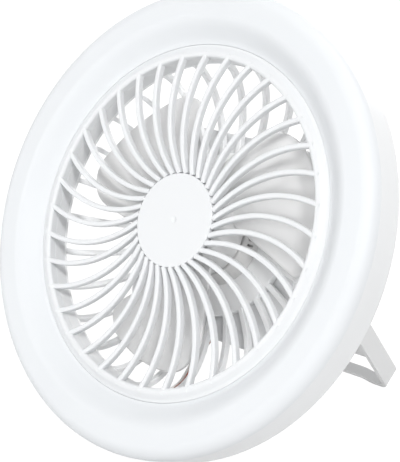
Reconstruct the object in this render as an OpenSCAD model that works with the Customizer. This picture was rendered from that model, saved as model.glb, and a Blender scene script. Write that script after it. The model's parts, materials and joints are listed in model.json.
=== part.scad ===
// Portable camping fan with a ring light and a folding stand.
// Every piece is drawn in the fan's own frame first: X to the right, Y up the disc, Z out of the
// front. posed() then leans the whole fan back and stands it on the ring's lower edge.

/* [Ring] */
// Diameter of the round air opening
opening_d = 140; // [130:1:144]
// Outer diameter of the ring
ring_od = 199; // [195:1:215]
// How far the diffuser's crest stands in front of the opening
crest_h = 6; // [4:0.5:8]
// Depth of the ring behind the opening
ring_back = 14.5; // [13:0.5:17]
// Radius of the diffuser's outer rounding
front_round = 6; // [4:0.5:7]
// Radius of the tray's rear edge
rear_round = 2; // [1:0.5:2.5]
// Wall of the diffuser
diffuser_wall = 2; // [1.6:0.1:2.4]
// Wall of the tray
tray_wall = 2; // [1.6:0.1:2.4]
// Angle that the fan leans back
tilt = 25; // [18:1:30]

/* [Front guard] */
// Number of curved ribs in the front guard
front_ribs = 36; // [24:1:40]
// Width of a front rib
front_rib_w = 2.2; // [1.6:0.1:2.6]
// Depth of a front rib
front_rib_t = 3; // [2:0.2:4]
// Diameter of the centre cap
cap_d = 40; // [34:1:44]
// Thickness of the centre cap
cap_t = 2; // [1.6:0.1:2.4]
// How far the cap stands in front of the opening
cap_h = 0.1; // [0:0.1:2]
// How far a front rib bows out of its chord
rib_bow = 5.5; // [3:0.1:8]
// Width of the lip around the opening
lip_w = 6; // [5:0.5:7]

/* [Rear guard] */
// Number of ribs in the rear guard
rear_ribs = 27; // [18:1:30]
// Width of a rear rib
rear_rib_w = 2.4; // [1.8:0.1:3]
// Depth of a rear rib
rear_rib_t = 3; // [2:0.2:4]
// Diameter of the plate that carries the motor
hub_plate_d = 72; // [64:1:78]
// Thickness of that plate
hub_plate_t = 3.1; // [2.6:0.1:3.6]
// Depth of the rear guard's bowl behind the opening
bowl_depth = 31.3; // [29:0.1:34]

/* [Impeller] */
// Diameter over the blade tips
impeller_d = 125; // [110:1:127]
// Diameter of the impeller's hub
hub_d = 39; // [37:0.5:41]
// Thickness of a blade
blade_t = 1.8; // [1.2:0.1:2.4]
// Pitch of a blade at its middle
blade_pitch = 12; // [9:1:14]
// Radius of the blade's camber
blade_camber = 200; // [150:10:260]
// Wall of the hub
hub_wall = 1.6; // [1.2:0.1:2]

/* [Motor] */
// Diameter of the motor
motor_d = 28; // [26:0.5:29]
// Length of the motor's can
motor_len = 25; // [22:0.5:26]
// Diameter of the motor's shaft
shaft_d = 2; // [2:0.1:3]
// Wall of the motor's can
can_wall = 1.2; // [0.8:0.1:1.4]

/* [Rear box] */
// Width of the rear box
box_w = 85.8; // [82:0.2:88]
// Height of the rear box
box_h = 88; // [84:1:92]
// Depth of the rear box with its cover
box_depth = 27; // [26:0.5:30]
// Wall of the rear box
box_wall = 2; // [1.6:0.1:2.4]
// Radius of the rear box's upright corners
box_corner = 14; // [8:1:18]
// Diameter of a cell
cell_d = 18.3; // [18:0.1:18.5]
// Length of a cell
cell_len = 65; // [60:1:66]
// Diameter of a push button
button_d = 12; // [9:0.5:13]
// Travel of a push button
button_travel = 0.8; // [0.4:0.1:1]

/* [Stand] */
// Thickness of the washer between the rear box and each arm
washer_t = 0.8; // [0.5:0.1:1.5]
// Length of the stand from its hinge to its feet
stand_len = 91.5; // [89:0.5:96]
// Width of the stand's band
band_w = 10; // [8:0.5:12]
// Width of the crossbar between the feet
bar_w = 5; // [4:0.5:7]
// Thickness of the stand's band
band_t = 2.2; // [1.8:0.1:2.4]
// Radius of the stand's outer corners
stand_corner = 4; // [3:0.5:6]
// Distance of the web's lower edge from the hinge
web_end = 73.5; // [71:0.5:75]
// Width of the web between the arms
web_w = 20; // [15:1:22]
// How far the feet stand past the middle of the crossbar
foot_h = 2.2; // [1.5:0.1:3]

/* [Hidden] */

// Fits
gap = 0.1;            // between pieces that are fixed together
run = 0.05;           // radial play of a shaft or pin that turns
slide_gap = 0.2;      // radial play of a push button
eps = 0.01;           // overrun of a cut past a face

// Ring
opening_r = opening_d / 2;
ring_r = ring_od / 2;
lip_r = 1.3;                              // rounding of the opening's edge
valley_r = opening_r + lip_w;             // bottom of the groove between lip and diffuser
valley_z = -1.2;
rise_end = valley_r + 0.65 * (ring_r - front_round - valley_r);  // inner edge of the diffuser's crest
diffuser_low = valley_z - diffuser_wall;  // lowest point of the diffuser's inner edge
seam_z = crest_h - front_round;           // seam between diffuser and tray on the ring's side
floor_t = 1.8;
floor_z = 7.3 - ring_back;                // front face of the tray's floor
tray_back = floor_z - floor_t;            // rear face of the tray's floor
duct_top = -3;
skirt_w = 1.6;                            // diffuser's skirt inside the tray's wall
skirt_z = -4;
slope_w = 5;                              // the floor's outer stretch, which slopes to the rear edge
board_out = ring_r - tray_wall - slope_w - 0.5;
floor_r = board_out + 0.5;                // where the floor starts to slope
board_t = 1.6;
led_count = 48;
led_side = 2.8;
led_t = 0.8;

// Rear guard
rim_t = 1.6;
rim_w = 7.4;
rim_back = tray_back - rim_t;
plate_r = hub_plate_d / 2;
bowl_r = opening_r - plate_r;             // the bowl's section is a quarter ellipse
bowl_h = bowl_depth + tray_back;
plate_back = -bowl_depth - hub_plate_t;
guard_back = -bowl_depth - max(hub_plate_t, rear_rib_t);

// Screws through the rear guard's rim and the tray into the front guard
ring_screw_count = 6;
ring_screw_first = 30;
ring_screw_r = 1.2;
ring_screw_pcr = opening_r + 4.9;
ring_boss_r = 2.5;
board_in = ring_screw_pcr + ring_boss_r + 0.6;

// Motor, from the hub plate forwards
motor_r = motor_d / 2;
can_back = plate_back - 0.2;
can_front = can_back + motor_len;
bush_r = 2.6;
shaft_r = shaft_d / 2;
bell_t = 2.6;
bell_boss_h = 2.2;
magnet_t = 2;
air_gap = 0.6;
armature_r = motor_r - can_wall - magnet_t - air_gap;
armature_len = 12;
armature_z = can_back + 8;
commutator_r = 3.4;

// Motor cup on the hub plate
cup_top = -bowl_depth + 7.2;
cup_foot_r = 22.8;
cup_top_r = 19.6;
cup_screw_pcr = 18.2;
cup_screw_r = 0.9;

// Impeller
impeller_r = impeller_d / 2;
hub_r = hub_d / 2;
hub_front = -4.5;
hub_back = cup_top + 0.8;
hub_t = 2;
boss_r = 4;
blade_z = -15.5;
blade_mid = 60;       // clockwise angle of a blade's middle from straight up
blades = 3;
blade_lead_round = 7;    // rounding of the leading edge's tip corner
blade_lead_at = 32;      // its angle ahead of the blade's middle
blade_trail_round = 18;  // rounding of the trailing edge's tip corner
blade_trail_at = 10;     // its angle behind the blade's middle
root_lead = [2, hub_r - 1];
root_trail = [-0.72 * hub_r, 0.6 * hub_r];

// Rear box
box_front = guard_back - 0.3;
box_back = box_front - box_depth;
cover_t = 3.4;
cover_z = box_back + cover_t;             // seam between box and cover
cell_y = motor_r - 2 + cell_d / 2 + 3.4;
cell_z = box_front - box_wall - 1.9 - cell_d / 2;
pcb_t = 1.6;
pcb_z = cell_z - 3.2;                     // front face of the control board
pcb_w = 58;
pcb_h = 26;
button_x = 17;
button_r = button_d / 2;
button_proud = 1.2;
flange_r = button_r + 1.2;
flange_t = 1;
stem_r = 1.6;
stem_in = 1.2;        // how far the button's stem reaches into its switch
switch_side = 6;
switch_h = 3.6;
usb_w = 9;
usb_h = 3.3;

// Stand
hinge_z = -48;
hinge_r = 2.6;
arm_eye_r = 7.5;
arm_in = box_w / 2 + washer_t + gap;
stand_half = arm_in + band_t;
washer_r = 6;
hinge_head_t = 1.8;
hinge_head_r = 5;
hinge_thread_r = 1.5;
hinge_thread_len = 7;
ogee_r = 7.8;
foot_flat = 3.5;

// Where the fan stands: the ring's rear edge and the stand's feet touch the ground together
centre_z = (ring_r - rear_round) * cos(tilt) + (ring_back - rear_round) * sin(tilt) + rear_round;
hinge_high = centre_z + hinge_z * sin(tilt);
arm_drop = asin(hinge_high / norm([stand_len, band_w / 2])) - atan(band_w / 2 / stand_len);
stand_open = 90 + tilt - arm_drop;        // from folded flat
y_front = -(ring_r - front_round) * sin(tilt) - (crest_h - front_round) * cos(tilt) - front_round;
y_back = -hinge_z * cos(tilt) + stand_len * cos(arm_drop) + band_w / 2 * sin(arm_drop);
centre_y = -(y_front + y_back) / 2;

$fn = 96;

white = [0.95, 0.96, 0.97];
milk = [0.96, 0.97, 0.98];
off_white = [0.88, 0.89, 0.90];

// ---------- helpers ----------

// Leans the fan back and stands it on the ground
module posed() {
  translate([0, centre_y, centre_z]) rotate([90 - tilt, 0, 0]) children();
}

// Copies the children count times around the fan's axis, the first at the given clockwise angle
module around(count, first = 0) {
  for (k = [0 : count - 1]) rotate([0, 0, 90 - first - k * 360 / count]) children();
}

// A ring with square edges, from z0 to z1
module ring(r_in, r_out, z0, z1) {
  translate([0, 0, z0]) difference() {
    cylinder(r = r_out, h = z1 - z0);
    translate([0, 0, -eps]) cylinder(r = r_in, h = z1 - z0 + 2 * eps);
  }
}

// A disc from z0 to z1
module disc(r, z0, z1) {
  translate([0, 0, z0]) cylinder(r = r, h = z1 - z0);
}

// A rounded rectangle
module round_rect(w, h, r) {
  for (sx = [-1, 1]) for (sy = [-1, 1])
    translate([sx * (w / 2 - r), sy * (h / 2 - r)]) circle(r);
  square([w - 2 * r, h], center = true);
  square([w, h - 2 * r], center = true);
}

// A rod along X from x0 to x1
module rod_x(r, x0, x1) {
  translate([x0, 0, 0]) rotate([0, 90, 0]) cylinder(r = r, h = x1 - x0);
}

// A screw along Z: its shank ends at z0 and its head sits on z1, facing +Z or -Z
module screw(r, head_r, head_t, z0, z1) {
  disc(r, min(z0, z1), max(z0, z1));
  if (z1 > z0) disc(head_r, z1, z1 + head_t);
  else disc(head_r, z1 - head_t, z1);
}

// Places the children on both hinge sides, with +X pointing outwards
module both_sides() {
  translate([0, 0, hinge_z]) {
    children();
    mirror([1, 0, 0]) children();
  }
}

// A bent wire through the given points, with a slightly larger ball at each bend
module wire(points, r) {
  for (k = [1 : len(points) - 2]) translate(points[k]) sphere(r * wire_bend_r / wire_r, $fn = 24);
  for (k = [0 : len(points) - 2]) {
    d = points[k + 1] - points[k];
    translate(points[k])
      rotate([0, acos(d[2] / norm(d)), atan2(d[1], d[0])])
        cylinder(r = r, h = norm(d), $fn = 24);
  }
}

// ---------- front guard ----------

// Height of the guard's face: flat over the cap, then falling to the lip
dome_low = 0.9;
function dome(r) = dome_low + (cap_h - dome_low)
  * (1 - pow((max(r, cap_d / 2) - cap_d / 2) / (opening_r - cap_d / 2), 2));

// Section of the guard from its face to a depth below it
module dome_section(r0, r1, depth) {
  steps = 10;
  radii = [for (k = [0 : steps]) r0 + (r1 - r0) * k / steps];
  polygon(concat([for (r = radii) [r, dome(r)]],
    [for (k = [steps : -1 : 0]) [radii[k], dome(radii[k]) - depth]]));
}

// Plan of one rib: a band on an arc whose ends lie on one spoke
front_rib_first = 2.6;
rib_start = 2.4;      // from the cap's edge to the inner end of a rib's chord

module rib_plan() {
  r_from = cap_d / 2 + rib_start;
  half_chord = (opening_r - r_from) / 2;
  arc_r = (half_chord * half_chord + rib_bow * rib_bow) / (2 * rib_bow);
  cx = r_from + half_chord;
  cy = rib_bow - arc_r;
  intersection() {
    translate([cx, cy]) difference() {
      circle(arc_r + front_rib_w / 2);
      circle(arc_r - front_rib_w / 2);
    }
    rotate(atan2(cy, cx)) square(2 * opening_r);
    difference() {
      circle(opening_r + 1);
      circle(cap_d / 2 - 1);
    }
  }
}

// The lip, with a skirt that drops over the tray's duct wall
module lip_section() {
  skirt_end = diffuser_low - 0.8;
  translate([opening_r + lip_r, 1 - lip_r]) circle(lip_r);
  polygon([[opening_r, duct_top + gap], [opening_r, 1 - lip_r], [opening_r + lip_r, 1],
    [opening_r + lip_r + 1, 1], [valley_r - 1.2, valley_z + 0.3], [valley_r - gap, valley_z],
    [valley_r - gap, skirt_end], [opening_r + tray_wall + 0.2, skirt_end],
    [opening_r + tray_wall + 0.2, duct_top + gap]]);
}

// Places the children on the circle of the ring's screws
module ring_screw_places() {
  around(ring_screw_count, ring_screw_first) translate([ring_screw_pcr, 0, 0]) children();
}

module front_guard() {
  guard_low = min(cap_h, dome_low) - front_rib_t - 1;
  guard_high = max(cap_h, dome_low) + 1;
  dimple_r = 2;
  dimple_deep = 0.4;
  color(white) posed() difference() {
    union() {
      rotate_extrude() lip_section();
      intersection() {
        translate([0, 0, guard_low]) linear_extrude(guard_high - guard_low)
          around(front_ribs, front_rib_first) rib_plan();
        rotate_extrude() dome_section(cap_d / 2 - 1, opening_r + 1, front_rib_t);
      }
      disc(cap_d / 2, cap_h - cap_t, cap_h);
      // bosses below the lip's skirt, kept clear of the diffuser's inner edge
      ring_screw_places() disc(ring_boss_r, floor_z + gap, diffuser_low - 3 * gap);
    }
    ring_screw_places() disc(ring_screw_r + 0.02, floor_z - 1, duct_top + 0.5);
    translate([0, 0, cap_h + dimple_r - dimple_deep]) sphere(dimple_r, $fn = 32);
  }
}

// ---------- lamp ----------

// Height of the diffuser's outer face between the groove and its crest
function rise(r) = valley_z + (crest_h - valley_z)
  * (0.5 - 0.5 * cos(180 * pow(min(1, (r - valley_r) / (rise_end - valley_r)), 0.85)));

// Point of the outer rounding, a degrees from its top
function rounding(r, a) = [ring_r - front_round + r * sin(a), seam_z + r * cos(a)];

// The rise and the crest, the outer rounding and a skirt inside the tray's wall
module diffuser_section() {
  steps = 12;
  turns = 8;
  round_in = front_round - diffuser_wall;
  skirt_out = ring_r - tray_wall - gap;
  skirt_in = skirt_out - skirt_w;
  skirt_a = asin((skirt_in - ring_r + front_round) / round_in);
  radii = [for (k = [0 : steps]) valley_r + gap + (rise_end - valley_r - gap) * k / steps];
  polygon(concat([for (r = radii) [r, rise(r)]],
    [for (k = [0 : turns]) rounding(front_round, 90 * k / turns)],
    [[skirt_out, seam_z], [skirt_out, skirt_z], [skirt_in, skirt_z]],
    [for (k = [turns : -1 : 0]) rounding(round_in, skirt_a * k / turns)],
    [for (k = [steps : -1 : 0]) [radii[k], rise(radii[k]) - diffuser_wall]]));
}

module diffuser() {
  color(milk) posed() rotate_extrude() diffuser_section();
}

module tray_section() {
  wall_x = ring_r - tray_wall;
  translate([wall_x, rear_round - ring_back])
    square([tray_wall, seam_z - gap + ring_back - rear_round]);
  translate([ring_r - rear_round, rear_round - ring_back]) intersection() {
    circle(rear_round);
    translate([0, -rear_round]) square(rear_round);
  }
  polygon([[ring_r - rear_round + eps, -ring_back], [wall_x + eps, -ring_back + 2 * floor_t],
    [floor_r, floor_z], [floor_r - 1, tray_back], [ring_r - rear_round - 1, -ring_back]]);
  translate([opening_r, tray_back]) square([floor_r - opening_r, floor_t]);
  translate([opening_r, tray_back]) square([tray_wall, duct_top - tray_back]);
}

module lamp_tray() {
  color(white) posed() difference() {
    rotate_extrude() tray_section();
    ring_screw_places() disc(ring_screw_r + gap, tray_back - 1, floor_z + 1);
    lamp_wire_hole();
  }
}

module led_board() {
  color("honeydew") posed() ring(board_in, board_out, floor_z + gap, floor_z + board_t);
}

module led_chips() {
  z0 = floor_z + board_t;
  color("khaki") posed() around(led_count) translate([(board_in + board_out) / 2, 0, z0 + led_t / 2])
    cube([led_side, led_side, led_t], center = true);
}

// ---------- rear guard ----------

rear_rib_first = 8;

// Radius and height of the bowl's section at an angle, thick outside its inner face
function bowl(a, thick) = [plate_r + (bowl_r + thick) * cos(a), tray_back - (bowl_h + thick) * sin(a)];

module bowl_section(thick) {
  steps = 14;
  polygon(concat([for (k = [0 : steps]) bowl(90 * k / steps, 0)],
    [[plate_r - 1, -bowl_depth], [plate_r - 1, -bowl_depth - thick]],
    [for (k = [steps : -1 : 0]) bowl(90 * k / steps, thick)]));
}

// Hole for the lamp's wires through the rim and the tray's floor
module lamp_wire_hole() {
  translate(beside_rib(wire_hole_at, wire_mid, 0)) disc(wire_hole_r, rim_back - rear_rib_t, floor_z + 1);
}

module rear_guard() {
  color(white) posed() difference() {
    union() {
      ring(opening_r + gap, opening_r + rim_w, rim_back, tray_back - gap);
      disc(plate_r, plate_back, -bowl_depth);
      intersection() {
        translate([0, 0, plate_back - 1]) linear_extrude(40) around(rear_ribs, rear_rib_first)
          translate([plate_r - 1, -rear_rib_w / 2]) square([bowl_r + rear_rib_t + 1, rear_rib_w]);
        rotate_extrude() bowl_section(rear_rib_t);
        disc(opening_r + rim_w, plate_back - 1, tray_back - gap);
      }
    }
    disc(motor_r + 0.1, plate_back - 1, 0);
    ring_screw_places() disc(ring_screw_r + gap, rim_back - 5, tray_back + 1);
    cup_screw_places() disc(cup_screw_r + gap, plate_back - 1, 0);
    for (sx = [-1, 1]) for (sy = [-1, 1]) translate([sx * box_screw_at, sy * box_screw_at, 0])
      disc(box_screw_r + 0.02, plate_back - 1, 0);
    lamp_wire_hole();
  }
}

// ---------- motor ----------

// Places the children on the circle of the cup's screws
module cup_screw_places() {
  around(3, 30) translate([cup_screw_pcr, 0, 0]) children();
}

module motor_cup() {
  vent_w = 1;
  vent_h = 2.6;
  color(off_white) posed() difference() {
    rotate_extrude() polygon([[motor_r + 0.1, -bowl_depth + gap], [cup_foot_r, -bowl_depth + gap],
      [cup_foot_r - 0.9, -bowl_depth + 3], [cup_top_r + 0.4, cup_top - 0.5], [cup_top_r - 0.4, cup_top],
      [motor_r + 0.1, cup_top]]);
    cup_screw_places() disc(cup_screw_r + 0.02, -bowl_depth - 1, cup_top - 2);
    around(3, 90) for (s = [-1, 1]) translate([cup_foot_r - 4, s * 1.2 - vent_w / 2, cup_top - 4.6])
      cube([6, vent_w, vent_h]);
  }
}

module motor_can() {
  color("silver") posed() difference() {
    disc(motor_r, can_back, can_front);
    disc(motor_r - can_wall, can_back - 1, can_front - can_wall);
    disc(bush_r + 0.02, can_back, can_front + 1);
  }
}

module motor_end_bell() {
  bell_front = can_back + bell_t;
  color("dimgray") posed() difference() {
    union() {
      disc(motor_r - can_wall - 0.05, can_back, bell_front);
      disc(5, can_back - bell_boss_h, can_back + 1);
    }
    disc(bush_r + 0.02, can_back - bell_boss_h - 1, bell_front + 1);
    for (s = [-1, 1]) translate([s * brush_at - 1.1, -1.6, can_back - 3]) cube([2.2, 3.2, 9]);
  }
}

bush_len = 3;
front_bush = can_front - bush_len + 0.8;
rear_bush = can_back - bell_boss_h;
brush_at = 8;

module motor_bushes() {
  color("tan") posed() {
    ring(shaft_r + 0.03, bush_r, front_bush, front_bush + bush_len);
    ring(shaft_r + 0.03, bush_r, rear_bush, rear_bush + bush_len);
  }
}

module motor_magnets() {
  magnet_out = motor_r - can_wall - 0.02;
  color("darkslategray") posed() difference() {
    ring(magnet_out - magnet_t, magnet_out, armature_z - 1, armature_z + armature_len + 1);
    for (s = [0, 180]) rotate([0, 0, s + 90]) translate([0, -3, can_back]) cube([motor_d, 6, motor_len]);
  }
}

// Two brush arms: each leaves its slot in the end bell and reaches the commutator
module motor_brushes() {
  color("goldenrod") posed() for (s = [0, 180]) rotate([0, 0, s]) {
    translate([brush_at - 1, -1.5, can_back - 3]) cube([2, 3, 8]);
    translate([commutator_r + 0.1, -1.5, can_back + 4.6]) cube([brush_at + 1 - commutator_r - 0.1, 3, 0.4]);
  }
}

module motor_shaft() {
  color("silver") posed() disc(shaft_r, rear_bush + 0.2, hub_front + 1.4);
}

module armature() {
  color("gray") posed() difference() {
    ring(shaft_r + 0.02, armature_r, armature_z, armature_z + armature_len);
    around(3) translate([4.6, 0, armature_z - 1]) cylinder(r = 2.2, h = armature_len + 2);
    around(3) translate([4.6, -0.7, armature_z - 1]) cube([armature_r, 1.4, armature_len + 2]);
  }
}

module windings() {
  color("chocolate") posed() for (z = [armature_z - 1.7, armature_z + armature_len + 0.1])
    ring(commutator_r + 0.5, armature_r - 0.6, z, z + 1.6);
}

module commutator() {
  color("peru") posed() ring(shaft_r + 0.02, commutator_r, can_back + 3, armature_z - 0.1);
}

// ---------- impeller ----------

// Plan of a blade whose middle lies along +Y and whose leading edge is on +X
module blade_plan() {
  intersection() {
    circle(impeller_r);
    hull() {
      rotate(blade_trail_at) translate([0, impeller_r - blade_trail_round])
        circle(blade_trail_round, $fn = 48);
      rotate(-blade_lead_at) translate([0, impeller_r - blade_lead_round - 2])
        circle(blade_lead_round, $fn = 32);
      translate(root_lead) circle(2, $fn = 16);
      translate(root_trail) circle(3, $fn = 16);
    }
  }
}

module blade() {
  camber_x = blade_camber * sin(blade_pitch);
  camber_z = blade_z + blade_camber * cos(blade_pitch);
  intersection() {
    translate([0, 0, hub_back - 2]) linear_extrude(hub_front - hub_back + 3) blade_plan();
    translate([camber_x, 0, camber_z]) rotate([-90, 0, 0]) difference() {
      cylinder(r = blade_camber + blade_t / 2, h = impeller_r, $fn = 240);
      translate([0, 0, -eps]) cylinder(r = blade_camber - blade_t / 2, h = impeller_r + 1, $fn = 240);
    }
  }
}

module impeller() {
  color("gainsboro") posed() difference() {
    union() {
      disc(hub_r, hub_back, hub_front);
      for (k = [0 : blades - 1]) rotate([0, 0, -blade_mid - k * 360 / blades]) blade();
    }
    difference() {
      disc(hub_r - hub_wall, hub_back - 20, hub_front - hub_t);
      disc(boss_r, can_front + 1.2, hub_front);
    }
    disc(shaft_r + 0.01, hub_back - 1, hub_front + 1);
  }
}

module shaft_clip() {
  color("silver") posed() difference() {
    ring(shaft_r + 0.02, shaft_r + 1.6, hub_front + 0.1, hub_front + 0.7);
    translate([0, -0.6, hub_front]) cube([4, 1.2, 1]);
  }
}

// ---------- rear box ----------

box_screw_r = 1.2;
box_screw_at = 20;
cover_screw_r = 1.2;
cover_screw_x = box_w / 2 - 8;
cover_screw_y = box_h / 2 - 8;
wire_r = 0.6;
wire_bend_r = 1.2 * wire_r;               // the ball at a wire's bend
wire_hole_at = opening_r + 5;
wire_hole_r = 1.7;

// The pair of lamp wires runs beside one rib of the rear guard
wire_rib_a = rear_rib_first + 12 * 360 / rear_ribs;
wire_pitch = 2 * wire_bend_r + 0.16;
wire_near = -rear_rib_w / 2 - wire_bend_r - gap;
wire_mid = wire_near - wire_pitch / 2;
wire_exit_r = -box_h / 2 / cos(wire_rib_a);

// A point at radius r on the wires' rib, s to its side
function beside_rib(r, s, z) = [r * sin(wire_rib_a) - s * cos(wire_rib_a),
  r * cos(wire_rib_a) + s * sin(wire_rib_a), z];

// Fills the cover's screw bosses and the hinge bosses
module box_bosses() {
  for (sx = [-1, 1]) for (sy = [-1, 1]) translate([sx * cover_screw_x, sy * cover_screw_y, 0])
    disc(3.4, cover_z, box_front - 1);
  both_sides() rod_x(5, cradle_end + 1.2, box_w / 2 - 1);
}

// Two saddles under each cell, and a wall behind each of its contacts
module cell_saddles() {
  saddle_back = cell_z - 1;
  wall_back = cell_z - contact_side / 2;
  for (sy = [-1, 1]) for (sx = [-1, 1]) {
    translate([sx * saddle_x - 1, sy * cell_y - cell_d / 2, saddle_back])
      cube([2, cell_d, box_front - 1 - saddle_back]);
    translate([sx * (cradle_end + 0.6) - 0.6, sy * cell_y - contact_side / 2, wall_back])
      cube([1.2, contact_side, box_front - 1 - wall_back]);
  }
}

saddle_x = 29;
contact_side = 10;
contact_t = 0.5;
cradle_end = cell_len / 2 + contact_t + 2 * gap;

module box_body() {
  inner_w = box_w - 2 * box_wall;
  inner_h = box_h - 2 * box_wall;
  color(white) posed() difference() {
    union() {
      difference() {
        translate([0, 0, cover_z]) linear_extrude(box_front - cover_z) round_rect(box_w, box_h, box_corner);
        translate([0, 0, cover_z - 1]) linear_extrude(box_front - box_wall - cover_z + 1)
          round_rect(inner_w, inner_h, box_corner - box_wall);
      }
      intersection() {
        box_bosses();
        translate([0, 0, cover_z]) linear_extrude(40) round_rect(box_w - 1, box_h - 1, box_corner);
      }
      cell_saddles();
      for (sy = [-1, 1]) for (sx = [-1, 1]) translate([sx * 24 - 1.5, sy * 8 - 1.5, pcb_z])
        cube([3, 3, box_front - 1 - pcb_z]);
    }
    for (sy = [-1, 1]) translate([0, sy * cell_y, cell_z])
      rod_x(cell_d / 2 + 0.15, -cradle_end, cradle_end);
    disc(motor_r + 1, box_front - box_wall - 1, box_front + 1);
    both_sides() rod_x(hinge_thread_r + 0.02, box_w / 2 - hinge_thread_len - 4, box_w / 2 + 1);
    for (sx = [-1, 1]) for (sy = [-1, 1]) {
      translate([sx * box_screw_at, sy * box_screw_at, 0])
        disc(box_screw_r + gap, box_front - box_wall - 1, box_front + 1);
      translate([sx * cover_screw_x, sy * cover_screw_y, 0])
        disc(cover_screw_r + 0.02, cover_z - 1, cover_z + 10);
    }
    translate([beside_rib(wire_exit_r, wire_mid, 0)[0], -box_h / 2, lamp_wire_z]) rotate([90, 0, 0])
      cylinder(r = wire_hole_r, h = 8, center = true);
  }
}

// The cover is a shallow dish with a rounded rear edge
module cover_form(inset, z_rear, z_front) {
  edge = 3 - inset * 0.6;
  hull() for (sx = [-1, 1]) for (sy = [-1, 1])
    translate([sx * (box_w / 2 - box_corner), sy * (box_h / 2 - box_corner), 0]) {
      translate([0, 0, z_rear + edge])
        cylinder(r = box_corner - inset, h = z_front - z_rear - edge, $fn = 32);
      translate([0, 0, z_rear]) cylinder(r = box_corner - inset - edge, h = edge / 2, $fn = 32);
      translate([0, 0, z_rear + edge * 0.3])
        cylinder(r = box_corner - inset - edge * 0.3, h = edge / 2, $fn = 32);
    }
}

module usb_plan(w, h) {
  for (s = [-1, 1]) translate([s * (w - h) / 2, 0]) circle(h / 2, $fn = 32);
  square([w - h, h], center = true);
}

module box_cover() {
  color(white) posed() difference() {
    union() {
      difference() {
        cover_form(0, box_back, cover_z - gap);
        cover_form(box_wall, box_back + box_wall, cover_z + 1);
      }
      intersection() {
        for (sx = [-1, 1]) for (sy = [-1, 1]) translate([sx * cover_screw_x, sy * cover_screw_y, 0])
          disc(3.4, box_back + 1, cover_z - gap);
        cover_form(0.5, box_back + 0.5, cover_z - gap);
      }
    }
    for (s = [-1, 1]) translate([s * button_x, 0, 0]) disc(button_r + slide_gap, box_back - 1, cover_z + 1);
    translate([0, 0, box_back - 1]) linear_extrude(cover_t + 2) usb_plan(usb_w + 0.4, usb_h + 0.4);
    translate([0, light_y, 0]) disc(light_r + 0.05, box_back - 1, cover_z);
    for (sx = [-1, 1]) for (sy = [-1, 1]) translate([sx * cover_screw_x, sy * cover_screw_y, 0]) {
      disc(cover_screw_r + gap, box_back - 1, cover_z);
      disc(2.5, box_back - 1, box_back + 1.4);
    }
  }
}

light_y = -8;
light_r = 1.3;

module cell(sy) {
  color("steelblue") posed() translate([0, sy * cell_y, cell_z]) {
    rod_x(cell_d / 2, -cell_len / 2, cell_len / 2 - 1.5);
    rod_x(3, cell_len / 2 - 1.6, cell_len / 2);
  }
}
module upper_cell() { cell(1); }
module lower_cell() { cell(-1); }

module cell_contacts() {
  color("silver") posed() for (sx = [-1, 1]) for (sy = [-1, 1])
    translate([sx * (cradle_end - gap - contact_t / 2), sy * cell_y, cell_z])
      cube([contact_t, contact_side, contact_side], center = true);
}

module control_board() {
  color("seagreen") posed() difference() {
    translate([-pcb_w / 2, -pcb_h / 2, pcb_z - pcb_t]) cube([pcb_w, pcb_h, pcb_t - gap]);
    for (s = [-1, 1]) translate([s * 5, 4, 0]) disc(0.8, pcb_z - 3, pcb_z + 1);
  }
}

switch_back = pcb_z - pcb_t - switch_h;

module switch_bodies() {
  color([0.2, 0.2, 0.22]) posed() for (s = [-1, 1]) translate([s * button_x, 0, 0]) difference() {
    translate([-switch_side / 2, -switch_side / 2, switch_back]) cube([switch_side, switch_side, switch_h]);
    disc(stem_r + slide_gap, switch_back - 1, switch_back + stem_in + button_travel + 0.3);
  }
}

module usb_socket() {
  socket_back = box_back + 0.2;
  shell = 0.4;
  color("silver") posed() {
    difference() {
      translate([0, 0, socket_back]) linear_extrude(pcb_z - pcb_t - socket_back) usb_plan(usb_w, usb_h);
      translate([0, 0, socket_back - 1]) linear_extrude(6.5) usb_plan(usb_w - 2 * shell, usb_h - 2 * shell);
    }
    translate([-3.3, -0.35, socket_back + 0.8]) cube([6.6, 0.7, 5]);
  }
}

module charge_light() {
  color("honeydew") posed() translate([0, light_y, 0]) disc(light_r, box_back + 0.1, pcb_z - pcb_t);
}

module push_button(s) {
  top = box_back - button_proud;
  flange_back = box_back + box_wall + gap;
  color("whitesmoke") posed() translate([s * button_x, 0, 0]) {
    disc(button_r - 0.6, top, top + 0.6);
    disc(button_r, top + 0.5, flange_back + 0.1);
    disc(flange_r, flange_back, flange_back + flange_t);
    disc(stem_r, flange_back, switch_back + stem_in);
  }
}
module fan_button() { push_button(-1); }
module lamp_button() { push_button(1); }

// ---------- stand ----------

function arc(cx, cy, r, from, to, steps) = [for (k = [0 : steps])
  let (a = from + (to - from) * k / steps) [cx + r * cos(a), cy + r * sin(a)]];
function reversed(list) = [for (k = [len(list) - 1 : -1 : 0]) list[k]];
function mirrored(list) = [for (p = list) [-p[0], p[1]]];

// One side of the band, out from the crossbar over the ogee, the foot and the corner and up the
// arm, d outside the band's middle line
function band_side(d) =
  let (mid_r = stand_corner - band_t / 2,
    arm_x = stand_half - band_t / 2,
    end_y = -stand_len + band_t / 2,
    ogee_a = acos(1 - foot_h / (2 * ogee_r)),
    foot_x = stand_half - stand_corner - foot_flat,
    bar_x = foot_x - 2 * ogee_r * sin(ogee_a))
  concat(arc(bar_x, end_y + foot_h - ogee_r, ogee_r - d, 90, 90 - ogee_a, 5),
    arc(foot_x, end_y + ogee_r, ogee_r + d, -90 - ogee_a, -90, 5),
    arc(arm_x - mid_r, end_y + mid_r, mid_r + d, -90, 0, 8),
    [[arm_x + d, 0]]);

// The whole U of the band, its arms up to the hinge
module band() {
  out = band_side(band_t / 2);
  in = band_side(-band_t / 2);
  polygon(concat(reversed(mirrored(out)), out, reversed(in), mirrored(in)));
}

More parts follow.
